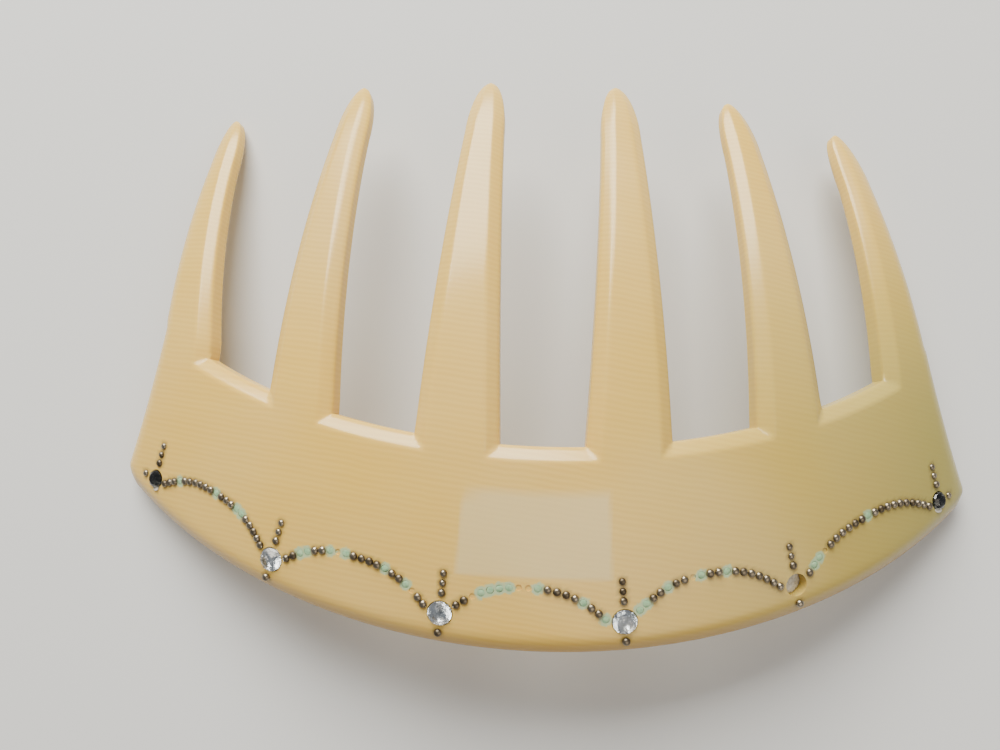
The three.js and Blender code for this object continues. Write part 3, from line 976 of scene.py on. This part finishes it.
    def place_on_tooth(self, tooth: Tooth, cell: int, row: int) -> tuple[float, float]:
        """Place of a grid point above the root of its tooth."""
        shape = self.sheet.outline
        nose = tooth.tip - shape.nose_length
        above = row - self.crown_cells
        if above <= self.straight_cells:
            share = above / self.straight_cells
            start = tooth.root_at + (cell / self.tooth_cells - 0.5) * tooth.root_width
            along = shape.root_height(start) * (1 - share) + nose * share
        else:
            share = (above - self.straight_cells) / self.nose_cells
            along = nose + shape.nose_length * math.sin(share * math.pi / 2)
        half = shape.half_of(tooth, along)
        middle = shape.middle_of(tooth, along)
        width = min(self.front_width, 0.6 * half)
        return self.across_tooth(middle - half, middle + half, cell, width), along

    def faces(self, column: int, row: int, across: float, along: float,
              line: np.ndarray) -> tuple[float, float]:
        """Heights of the front and back face at one grid point, chamfers included."""
        shape = self.sheet.outline
        period = self.tooth_cells + self.gap_cells
        index, cell = divmod(column, period)
        tooth = shape.teeth[min(index, len(shape.teeth) - 1)]
        thick = self.sheet.surface
        if row > self.crown_cells:
            root, nose = shape.root_of(tooth), tooth.tip - shape.nose_length
            shrink = shape.shrink_of(tooth, along)
            share = min(max((along - root) / (nose - root), 0.0), 1.0)
            full = self.sheet.thickness + (self.sheet.nose_thickness - self.sheet.thickness) * share
            thick = full / 2 * (0.35 + 0.65 * shrink)
            half = shape.half_of(tooth, along)
            inward = half - abs(across - shape.middle_of(tooth, along))
            width = min(self.front_width, 0.6 * half)
            deep = self.front_depth * (0.4 + 0.6 * shrink) * thick / self.sheet.surface
            low = self.back_depth * shrink
            outer = (index == 0 and cell < self.tooth_cells / 2) or (
                index == len(shape.teeth) - 1 and cell > self.tooth_cells / 2)
            soft = 0.24 if outer else 0.05 + 0.15 * (1 - shrink)
            front = self.slope(inward, width, deep, soft)
            back = self.slope(inward, self.back_width * shrink, low, 0.05)
            return thick - front, -thick + back
        inner = shape.root_height(across) - along
        if cell <= self.tooth_cells:
            flanks = [across - (tooth.root_at - tooth.root_width / 2),
                      (tooth.root_at + tooth.root_width / 2) - across]
            if index == 0:
                flanks = flanks[1:]
            elif index == len(shape.teeth) - 1:
                flanks = flanks[:1]
            inner = max(inner, min(flanks))
        outer_gap = distance_to(line, across, along)
        front = max(
            self.slope(inner, self.front_width, self.front_depth, 0.05),
            self.slope(outer_gap, self.front_width, self.front_depth, 0.24),
        )
        back = self.slope(min(inner, outer_gap), self.back_width, self.back_depth, 0.05)
        return thick - front, -thick + back

    def slope(self, inward: float, width: float, depth: float, soft: float) -> float:
        """Depth of a chamfer at some distance from its edge.

        Args:
            inward: Distance from the edge.
            width: Width of the chamfer.
            depth: Its depth at the edge.
            soft: How gently it runs out into the face; the outer edge is eased a little as well.

        Returns:
            How far the face is cut away there.
        """
        flat = depth * soft * math.log1p(math.exp((1 - inward / width) / soft))
        eased = self.edge_round * max(1 - inward / self.edge_steps[1], 0.0) * width / self.front_width
        return flat + eased

    def drill(self, body: bpy.types.Object) -> None:
        """Drills the pits and sockets, while the sheet is flat."""
        holes = []
        for i, setting in enumerate(self.layout.settings):
            middle = self.layout.on_ring(setting.angle)
            wide = self.layout.radius_of(setting) + 0.06 if setting.stone else self.lost_radius
            holes.append((middle, wide, self.socket_depth, 48))
            holes += [(at, self.stem_pit_radius, self.pit_depth, 20) for _, at in self.layout.stem(setting)]
            if i < len(self.layout.swags):
                for fill, at in self.layout.pits(i):
                    if fill is PitFill.EMPTY:
                        holes.append((at, self.dimple_radius, self.dimple_depth, 16))
                    else:
                        holes.append((at, self.pit_radius, self.pit_depth, 20))
        clear_selection()
        above = 0.6
        made = []
        for at, radius, depth, corners in holes:
            bpy.ops.mesh.primitive_cylinder_add(
                vertices=corners, radius=radius, depth=depth + above,
                location=(at.x, at.y, self.sheet.surface + (above - depth) / 2),
            )
            made.append(bpy.context.object)
        for cutter in made:
            cutter.select_set(True)
        bpy.ops.object.join()
        cutter = bpy.context.object
        apply_placing()
        finish_modifier(body, "BOOLEAN", operation="DIFFERENCE", solver="MANIFOLD", object=cutter)
        bpy.data.objects.remove(cutter)

    def mark(self, body: bpy.types.Object, flat: np.ndarray) -> None:
        """Stores the sheet's grain and stains, and where shade and a reflection are painted on it, so that
        its material can show them.

        Args:
            body: The finished body.
            flat: Its vertices on the flat sheet.
        """
        across, along, height = flat.T
        front = height > 0
        shape = self.sheet.outline
        # The grain slopes down to the right, and steepens towards that end.
        slanted = along + self.grain_slope * across + self.grain_steepening * across ** 2
        keep_values(body, "grain", np.stack([across, slanted, height], axis=1))
        # Painted shade: the decorated edge is darker along its rounded lower rim.
        centre = shape.low + shape.edge_radius
        from_edge = shape.edge_radius - np.hypot(across, centre - along)
        keep_values(body, "edge_shade", 0.8 * fade(from_edge, 0.2, 1.5) * (along < 16))
        # Painted reflection: a pale, tapered patch on the middle of the crown.
        half = self.patch_half + 0.06 * (self.patch_high + 0.1 - along)
        inside = fade(np.abs(across - self.patch_middle), half - self.crisp, half + self.crisp)
        above = fade(self.patch_low - along, -0.3, 0.1)
        below = fade(along - self.patch_high - 0.05 * across, -self.crisp, self.crisp)
        keep_values(body, "pale_reflection", inside * above * below * front)
        # Painted shade: the right end of the crown is darker and greener.
        keep_values(body, "right_end_shade", np.clip((across - 4) / 42, 0, 1) * fade(along, 14, 46))
        greens, pins = [], []
        for i in range(len(self.layout.swags)):
            for fill, at in self.layout.pits(i):
                if fill is not PitFill.EMPTY:
                    (greens if fill is PitFill.GREEN else pins).append(at)
        for setting in self.layout.settings:
            pins += [at for _, at in self.layout.stem(setting)]
        keep_values(body, "stain", fade(self.nearest(flat, greens), 0.35, 0.95) * front)
        # Painted shadow: a dark ring on the sheet round each pin.
        pin_and_socket_shade = 0.8 * fade(self.nearest(flat, pins), 0.35, 0.72) * front
        # Painted shade: the wall of the empty socket is darker on its upper left side.
        hollow = next(self.layout.on_ring(one.angle) for one in self.layout.settings if not one.stone)
        inner = self.nearest(flat, [hollow]) < self.lost_radius + 0.02
        wall = inner & (height < self.sheet.surface - 0.2) & (along - hollow.y > across - hollow.x)
        keep_values(body, "pin_and_socket_shade", np.maximum(pin_and_socket_shade, 0.8 * wall))

    @staticmethod
    def nearest(flat: np.ndarray, places: Iterable[Vector]) -> np.ndarray:
        """Distance of each flat point to the nearest of some places."""
        gap = np.full(len(flat), 1e3)
        for at in places:
            gap = np.minimum(gap, np.hypot(flat[:, 0] - at.x, flat[:, 1] - at.y))
        return gap


def distance_to(line: np.ndarray, across: float, along: float) -> float:
    """Distance from a place on the sheet to a line made of short straight stretches."""
    starts, steps = line[:-1], np.diff(line, axis=0)
    offsets = np.array((across, along)) - starts
    squares = np.maximum(np.sum(steps * steps, axis=1), 1e-12)
    shares = np.clip(np.sum(offsets * steps, axis=1) / squares, 0, 1)
    return float(np.min(np.linalg.norm(offsets - steps * shares[:, None], axis=1)))


def fade(distance: np.ndarray, near: float, far: float) -> np.ndarray:
    """Falls smoothly from 1 within the near distance to 0 beyond the far one."""
    share = np.clip((far - distance) / (far - near), 0, 1)
    return share * share * (3 - 2 * share)


# ---------------------------------------------------------------- stones


@dataclass
class StoneSettings:
    """Paste stones in their sockets, each backed with foil."""

    sheet: Sheet
    layout: Layout
    radius: float = 1.2
    table_radius: float = 0.72
    table_height: float = 0.44
    girdle_top: float = 0.07
    girdle_low: float = -0.04
    pavilion_depth: float = 1.1
    foil_gap: float = 0.06
    foil_thickness: float = 0.12
    residue_radius: float = 1.1
    residue_middle: float = -1.25
    residue_thickness: float = 0.5
    residue_lumps: float = 0.05

    def cut_stone(self) -> bpy.types.Object:
        """Cuts one round stone: rings of corners, with facets stretched between them."""
        rings = [
            (8, self.table_radius, self.table_height, 0.5),
            (8, 0.95 * self.radius, 0.55 * self.table_height, 0.0),
            (16, self.radius, self.girdle_top, 0.25),
            (16, self.radius, self.girdle_low, 0.25),
            (8, 0.5 * self.radius, -0.6 * self.pavilion_depth, 0.5),
            (8, 0.06 * self.radius, -self.pavilion_depth, 0.0),
        ]
        clear_selection()
        bpy.ops.mesh.primitive_circle_add(vertices=3, radius=0.01)
        stone = bpy.context.object
        bpy.ops.object.mode_set(mode="EDIT")
        bpy.ops.mesh.delete(type="VERT")
        for corners, radius, height, turn in rings:
            bpy.ops.mesh.primitive_circle_add(
                vertices=corners, radius=radius, location=(0, 0, height),
                rotation=(0, 0, turn * math.tau / 8),
            )
        bpy.ops.mesh.select_all(action="SELECT")
        bpy.ops.mesh.convex_hull()
        bpy.ops.mesh.normals_make_consistent(inside=False)
        bpy.ops.object.mode_set(mode="OBJECT")
        finish_modifier(stone, "BEVEL", width=0.012, segments=1, limit_method="ANGLE",
                        angle_limit=math.radians(12))
        return stone

    def press_foil(self) -> bpy.types.Object:
        """Presses one foil cup, which follows the back of a stone."""
        clear_selection()
        bpy.ops.mesh.primitive_cone_add(
            vertices=32, radius1=0.1, radius2=self.radius * 0.99, depth=self.pavilion_depth,
            end_fill_type="NOTHING",
            location=(0, 0, self.girdle_low - self.pavilion_depth / 2 - self.foil_gap),
        )
        foil = bpy.context.object
        apply_placing()
        bpy.ops.object.mode_set(mode="EDIT")
        bpy.ops.mesh.select_all(action="DESELECT")
        bpy.ops.object.mode_set(mode="OBJECT")
        low = read_points(foil)[:, 2].min()
        for edge in foil.data.edges:
            edge.select = all(abs(foil.data.vertices[v].co.z - low) < 1e-4 for v in edge.vertices)
        bpy.ops.object.mode_set(mode="EDIT")
        bpy.ops.mesh.select_mode(type="EDGE")
        bpy.ops.mesh.edge_face_add()
        bpy.ops.mesh.select_all(action="SELECT")
        bpy.ops.mesh.subdivide(number_cuts=2)
        bpy.ops.object.mode_set(mode="OBJECT")
        finish_modifier(foil, "SOLIDIFY", thickness=self.foil_thickness, offset=-1)
        return foil

    def residue(self) -> bpy.types.Object:
        """Makes the dried cement that lies unevenly in the empty socket."""
        clear_selection()
        bpy.ops.mesh.primitive_cylinder_add(
            vertices=40, radius=self.residue_radius, depth=self.residue_thickness,
            location=(0, 0, self.residue_middle),
        )
        lump = bpy.context.object
        apply_placing()
        edit_faces(lump, lambda face: face.normal.z > 0.9)
        for _ in range(5):
            bpy.ops.mesh.inset(thickness=0.18)
        bpy.ops.object.mode_set(mode="OBJECT")
        points = read_points(lump)
        chance = random.Random(5)
        for point in points:
            if point[2] > self.residue_middle:
                # The cement has sunk on one side and stands highest on the other.
                slope = 0.34 * point[0] - 0.3 * point[1]
                lump_height = chance.uniform(-self.residue_lumps, self.residue_lumps)
                point[2] += 0.2 + 0.9 * max(slope, -0.4) + lump_height
        write_points(lump, points)
        make_active(lump)
        bpy.ops.object.shade_smooth()
        return lump

    def build(self) -> None:
        """Sets all the stones and foils, and dresses them."""
        clear_glass = PasteGlass().make()
        dull_glass = PasteGlass("lead_glass_dulled", "#B9BDB8", 0.12).make()
        bright_foil = TinFoil().make()
        dark_foil = TinFoil("tin_foil_tarnished", "#3E3F3C", "#1E1E1C", 0.7, 0.45).make()
        cement = ChalkyResidue("dried_cement_and_foil_dust", "#E2DFD4", "#B5AE9E").make()
        stone, foil, lump = self.cut_stone(), self.press_foil(), self.residue()
        for i, setting in enumerate(self.layout.settings):
            number = i + 1
            at = self.layout.on_ring(setting.angle)
            size = self.layout.radius_of(setting) / self.radius
            spot = [Spot(at.x, at.y, self.sheet.surface, turn=0.9 * i, scale=(size, size, 1.0))]
            if setting.stone:
                gem = copies_at(stone, f"paste_gem_{number}", spot)
                self.sheet.carry(gem)
                dress(gem, dull_glass if setting.dull else clear_glass)
                hand_over(gem, "paste", f"paste_stone_{number}")
                cup = copies_at(foil, f"foil_backing_{number}", spot)
                dress(cup, dark_foil if setting.dull else bright_foil)
            else:
                cup = copies_at(lump, f"socket_residue_{number}", spot)
                dress(cup, cement)
            self.sheet.carry(cup)
            hand_over(cup, "foil", f"foil_cup_{number}")
            if setting.dull:
                # Cement has oozed out below a dull stone.
                crust = copies_at(lump, f"old_cement_{number}", [
                    Spot(at.x - 0.1 * setting.outer_pin, at.y - 0.95, self.sheet.surface + 0.26,
                         scale=(0.4, 0.26, 0.22))
                ])
                dress(crust, cement)
                self.sheet.carry(crust)
                hand_over(crust, "foil")
        for template in (stone, foil, lump):
            bpy.data.objects.remove(template)


# ---------------------------------------------------------------- pins and corrosion


@dataclass
class PinWork:
    """Steel pins in their pits, and the corrosion that fills pits whose pin is gone."""

    sheet: Sheet
    layout: Layout
    head_radius: float = 0.395
    stem_radius: float = 0.335

    def pin(self) -> bpy.types.Object:
        """Turns one pin of unit radius: a domed head on a short shank."""
        clear_selection()
        bpy.ops.mesh.primitive_cylinder_add(vertices=14, radius=0.88, depth=1, location=(0, 0, -0.5))
        pin = bpy.context.object
        apply_placing()
        edit_faces(pin, lambda face: face.normal.z > 0.9)
        for rise, grow in ((0.12, 1.136), (0.36, 0.93), (0.25, 0.78), (0.15, 0.58), (0.06, 0.3)):
            bpy.ops.mesh.extrude_region_move(TRANSFORM_OT_translate={"value": (0, 0, rise)})
            bpy.ops.transform.resize(value=(grow, grow, 1))
        bpy.ops.object.mode_set(mode="OBJECT")
        bpy.ops.object.shade_smooth_by_angle(angle=math.radians(50))
        return pin

    def crust(self) -> bpy.types.Object:
        """Makes one plug of corrosion of unit radius: a low, lumpy cap that fills its pit."""
        clear_selection()
        bpy.ops.mesh.primitive_uv_sphere_add(segments=14, ring_count=8, radius=1)
        plug = bpy.context.object
        points = read_points(plug)
        chance = random.Random(11)
        for point in points:
            point *= 1 + chance.uniform(-0.08, 0.08)
        write_points(plug, points)
        make_active(plug)
        bpy.ops.object.shade_smooth()
        return plug

    def spots(self, places: Iterable[Vector], radius: float, chance: random.Random) -> list[Spot]:
        """Places for pins, each a little different in size, height and turn."""
        return [
            Spot(at.x, at.y, self.sheet.surface + chance.uniform(-0.05, 0.03), chance.uniform(0, math.tau),
                 (radius * chance.uniform(0.95, 1.03),) * 2 + (radius * chance.uniform(0.85, 1.0),))
            for at in places
        ]

    def build(self) -> None:
        """Sets every pin and plug, and dresses them."""
        steel = PinSteel().make()
        green = ChalkyResidue("verdigris_chalky", "#A3BF95", "#86AD84").make()
        pin, plug = self.pin(), self.crust()
        chance = random.Random(3)
        for i, setting in enumerate(self.layout.settings):
            for name, at in self.layout.stem(setting):
                radius = self.head_radius if name in ("drop", "stem_1") else self.stem_radius
                piece = copies_at(pin, f"steel_pin_{i + 1}_{name}", self.spots([at], radius, chance))
                self.settle(piece, steel, f"pin_{i + 1}_{name}")
        for i in range(len(self.layout.swags)):
            for j, run in enumerate(self.layout.runs(i)):
                heads = self.spots(run, self.head_radius, chance)
                piece = copies_at(pin, f"steel_pins_{i + 1}_{j + 1}", heads)
                self.settle(piece, steel, f"pin_run_{i + 1}_{j + 1}")
            holes = [at for fill, at in self.layout.pits(i) if fill is PitFill.GREEN]
            caps = [
                Spot(at.x, at.y, self.sheet.surface - 0.05, chance.uniform(0, math.tau),
                     (0.4 * chance.uniform(0.95, 1.2), 0.37 * chance.uniform(0.85, 1.05), 0.085))
                for at in holes
            ]
            self.settle(copies_at(plug, f"verdigris_plugs_{i + 1}", caps), green)
        for template in (pin, plug):
            bpy.data.objects.remove(template)

    def settle(self, piece: bpy.types.Object, material: bpy.types.Material, *nodes: str) -> None:
        """Carries a piece onto the comb, dresses it and hands it to the frame."""
        self.sheet.carry(piece)
        dress(piece, material)
        hand_over(piece, "steel", *nodes)


def hand_over(piece: bpy.types.Object, slot: str, *nodes: str) -> None:
    """Ties a finished piece to the frame.

    Args:
        piece: The finished piece.
        slot: Not used.
        nodes: The CAD nodes that it stands for.
    """
    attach(piece, "root")
    if nodes:
        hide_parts(*nodes)
    LOG.info("%s: %d faces", piece.name, len(piece.data.polygons))


# ---------------------------------------------------------------- studio


@dataclass
class Studio:
    """Plain pale floor, soft lights, and the camera close above the comb."""

    sheet: Sheet
    place: tuple[float, float, float] = (-1.83, 27.77, 80.28)
    pitch: float = 5.135
    yaw: float = -1.692
    roll: float = -1.878
    lens: float = 30.6
    floor_size: float = 6.0

    def build(self) -> None:
        """Sets up floor, lights, surroundings and camera."""
        self.floor()
        self.light("window", (-0.14, 0.48, 0.4), 0.46, 11.0, "#FFFDF6")
        self.light("fill", (0.3, -0.35, 0.55), 0.6, 2.0, "#FFF1DE")
        world = bpy.data.worlds.new("surroundings")
        bpy.context.scene.world = world
        world.use_nodes = True
        world.node_tree.nodes["Background"].inputs["Color"].default_value = linear("#C9CED6")
        world.node_tree.nodes["Background"].inputs["Strength"].default_value = 0.42
        self.camera()

    def floor(self) -> None:
        """Lays the floor."""
        clear_selection()
        bpy.ops.mesh.primitive_plane_add(size=self.floor_size)
        floor = bpy.context.object
        floor.name = "studio_floor"
        material, _, shader = new_material("painted_board_matt")
        shader.inputs["Base Color"].default_value = linear("#D3D3D1")
        shader.inputs["Roughness"].default_value = 0.7
        dress(floor, material)

    def light(self, name: str, place: tuple[float, float, float], size: float, power: float,
              colour: str) -> None:
        """Adds one soft lamp aimed at the comb."""
        data = bpy.data.lights.new(name, "AREA")
        data.shape = "SQUARE"
        data.size = size
        data.energy = power
        data.color = linear(colour)[:3]
        lamp = bpy.data.objects.new(name, data)
        lamp.location = place
        lamp.rotation_euler = Vector(place).to_track_quat("Z", "Y").to_euler()
        bpy.context.scene.collection.objects.link(lamp)

    def camera(self) -> None:
        """Hangs the camera over the sheet, from its place in the bent sheet's own frame."""
        data = bpy.data.cameras.new("camera")
        data.sensor_width = 36.0
        data.lens = self.lens
        data.clip_start = 0.005
        camera = bpy.data.objects.new("camera", data)
        look = (
            Matrix.Rotation(math.radians(self.roll), 3, "Z")
            @ Matrix.Rotation(math.radians(self.yaw), 3, "Y")
            @ Matrix.Rotation(math.radians(self.pitch), 3, "X")
        )
        turn = self.sheet.turn @ look.transposed()
        place = (self.sheet.turn @ Vector(self.place) + self.sheet.shift) * MILLIMETRE
        camera.matrix_world = Matrix.Translation(place) @ turn.to_4x4()
        bpy.context.scene.collection.objects.link(camera)
        bpy.context.scene.camera = camera


# ---------------------------------------------------------------- main


def main() -> None:
    """Builds the comb and its studio."""
    logging.basicConfig(level=logging.INFO, format="%(name)s: %(message)s")
    sheet = Sheet()
    layout = Layout()
    body = CombBody(sheet, layout).build()
    dress(body, IvoryCelluloid().make())
    hand_over(body, "celluloid", "comb_body")
    StoneSettings(sheet, layout).build()
    PinWork(sheet, layout).build()
    Studio(sheet).build()


if __name__ == "__main__":
    main()
